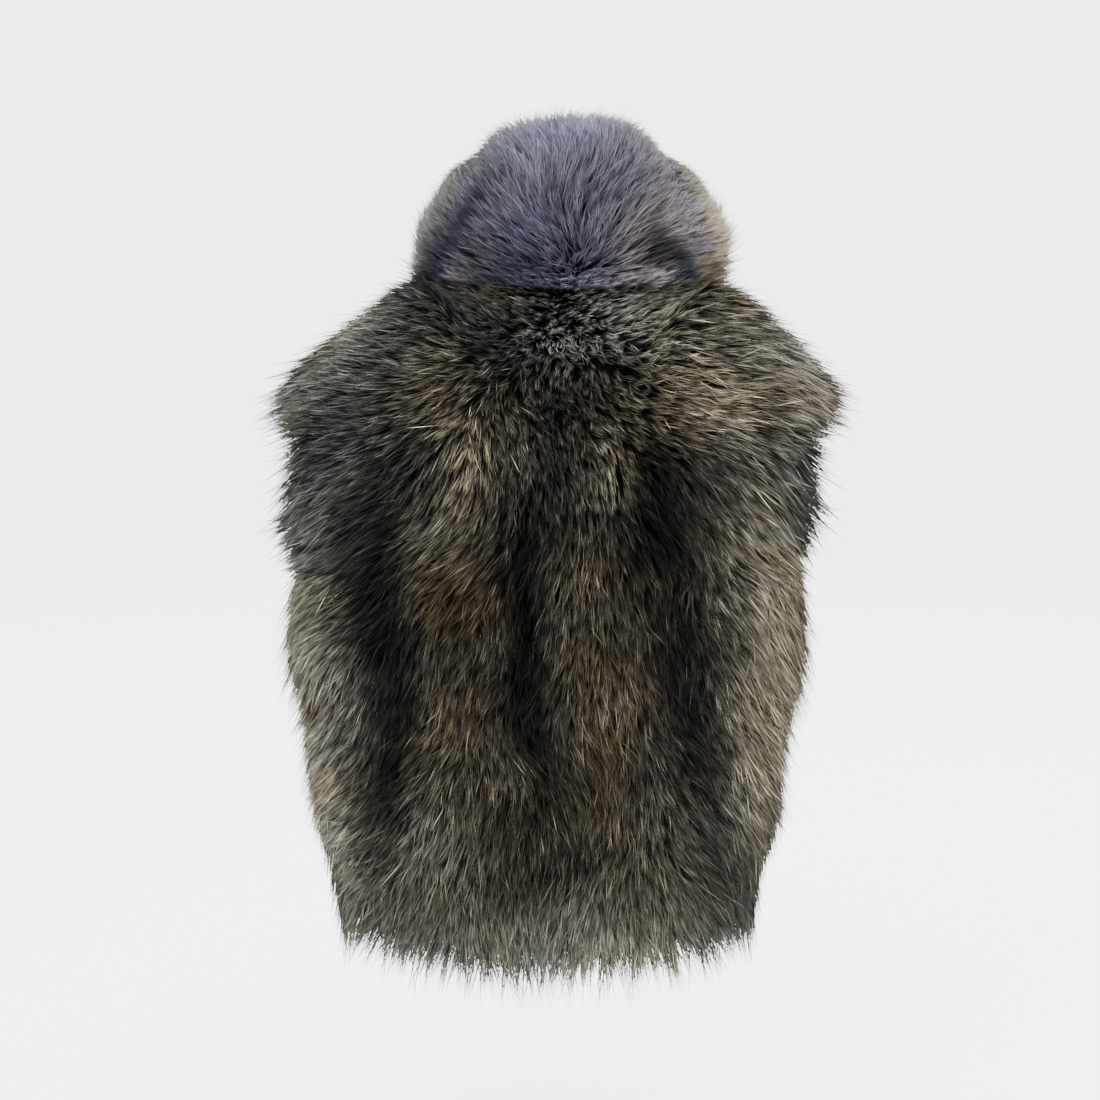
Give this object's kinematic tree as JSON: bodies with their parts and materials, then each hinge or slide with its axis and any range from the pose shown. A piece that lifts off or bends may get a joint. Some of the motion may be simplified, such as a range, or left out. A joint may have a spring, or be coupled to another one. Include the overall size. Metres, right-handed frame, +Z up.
{
  "type": "faux fur vest",
  "caption": "Sleeveless long-pile faux fur vest with a hood, hip length, open at neck, armholes and hem, as it hangs on a wearer.",
  "frame": {"origin": "the middle of the neck opening, at the height where the wearer's shoulders carry the vest", "axes": "+Z up, -Y towards the front, +X towards the wearer's left"},
  "size_m": [0.5117, 0.3158, 0.7482],
  "materials": {
    "fur_back": "long-pile faux fur, dark grey-brown with lighter tips",
    "fur_front": "long-pile faux fur, dark grey-brown with lighter tips",
    "fur_hood_centre": "long-pile faux fur, cool grey-brown",
    "fur_hood_left": "long-pile faux fur, grey-brown",
    "fur_hood_right": "long-pile faux fur, grey-brown with beige"
  },
  "bodies": {
    "root": {"back": "fur_back", "front_left": "fur_front", "front_right": "fur_front", "hood_centre": "fur_hood_centre", "hood_left": "fur_hood_left", "hood_right": "fur_hood_right"}
  },
  "joints": []
}
